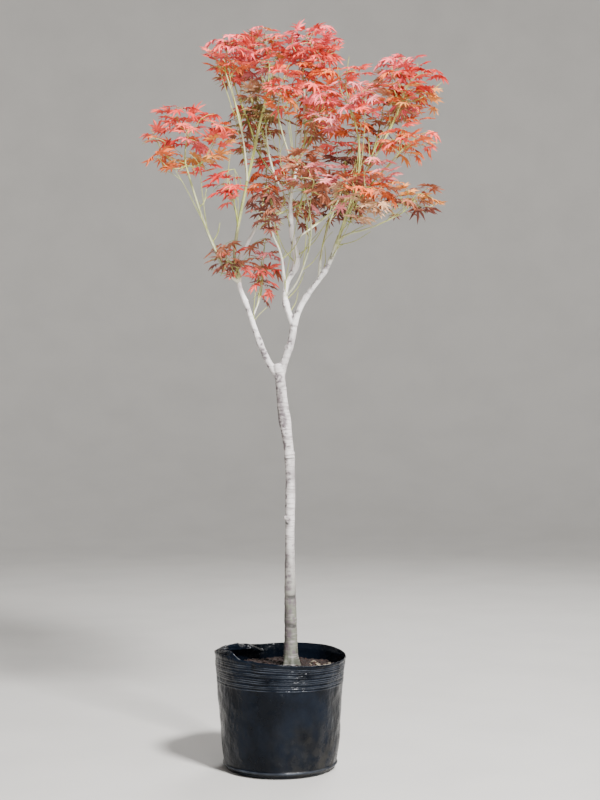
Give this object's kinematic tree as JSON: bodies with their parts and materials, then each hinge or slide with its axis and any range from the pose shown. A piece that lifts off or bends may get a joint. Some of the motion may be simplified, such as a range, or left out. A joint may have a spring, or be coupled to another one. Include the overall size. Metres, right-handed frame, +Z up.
{
  "type": "japanese maple tree in a nursery pot",
  "caption": "Young Japanese maple with a slender leaning trunk, forked boughs and an open crown of coral and bronze lobed leaves, standing in a soft black nursery pot filled with soil.",
  "frame": {"origin": "centre of the pot's flat underside", "axes": "+Z up along the tree's height; the pictured front faces -Y and +X is the viewer's right"},
  "size_m": [0.8593, 0.5575, 2.1073],
  "materials": {
    "pot": "soft black with a low sheen",
    "soil": "damp crumbly soil",
    "bark": "pale grey bark with fine cracks",
    "shoot": "smooth yellow-green young bark",
    "coral_leaf": "matt coral red leaves",
    "rose_leaf": "matt rose pink leaves",
    "orange_leaf": "matt orange leaves",
    "bronze_leaf": "matt bronze leaves",
    "tan_leaf": "matt pale tan leaves"
  },
  "bodies": {
    "root": {"pot": "pot", "soil": "soil", "trunk": "bark", "left_leader": "bark", "right_leader": "bark", "mid_stem": "bark", "right_limb": "bark", "left_stem": "bark", "cross_limb": "bark", "far_left_bough": "bark", "left_top_bough": "shoot", "high_left_bough": "shoot", "back_left_bough": "shoot", "mid_left_bough": "shoot", "back_mid_bough": "shoot", "front_top_bough": "shoot", "peak_bough": "bark", "centre_right_bough": "shoot", "back_high_bough": "shoot", "upper_right_bough": "bark", "right_top_bough": "shoot", "shoulder_bough": "shoot", "right_mid_bough": "shoot", "low_right_bough": "shoot", "front_right_bough": "shoot", "rear_right_bough": "shoot", "back_right_bough": "shoot", "back_cross_bough": "shoot", "back_low_bough": "shoot", "front_low_bough": "bark", "front_mid_bough": "shoot", "left_twig_bough": "shoot", "low_left_bough": "shoot", "inner_left_bough": "shoot", "far_left_leaves": "coral_leaf", "left_top_leaves": "coral_leaf", "high_left_leaves": "coral_leaf", "back_left_leaves": "coral_leaf", "peak_leaves": "coral_leaf", "mid_left_leaves": "bronze_leaf", "back_mid_leaves": "bronze_leaf", "front_top_leaves": "coral_leaf", "centre_right_leaves": "rose_leaf", "back_high_leaves": "coral_leaf", "upper_right_leaves": "rose_leaf", "right_top_leaves": "coral_leaf", "shoulder_leaves": "bronze_leaf", "right_mid_leaves": "orange_leaf", "rear_right_leaves": "bronze_leaf", "front_right_leaves": "tan_leaf", "low_right_leaves": "orange_leaf", "front_mid_leaves": "rose_leaf", "front_low_leaves": "bronze_leaf", "back_right_leaves": "bronze_leaf", "back_cross_leaves": "bronze_leaf", "back_low_leaves": "coral_leaf", "left_twig_leaves": "coral_leaf", "low_left_leaves": "rose_leaf", "inner_left_leaves": "bronze_leaf"}
  },
  "joints": []
}
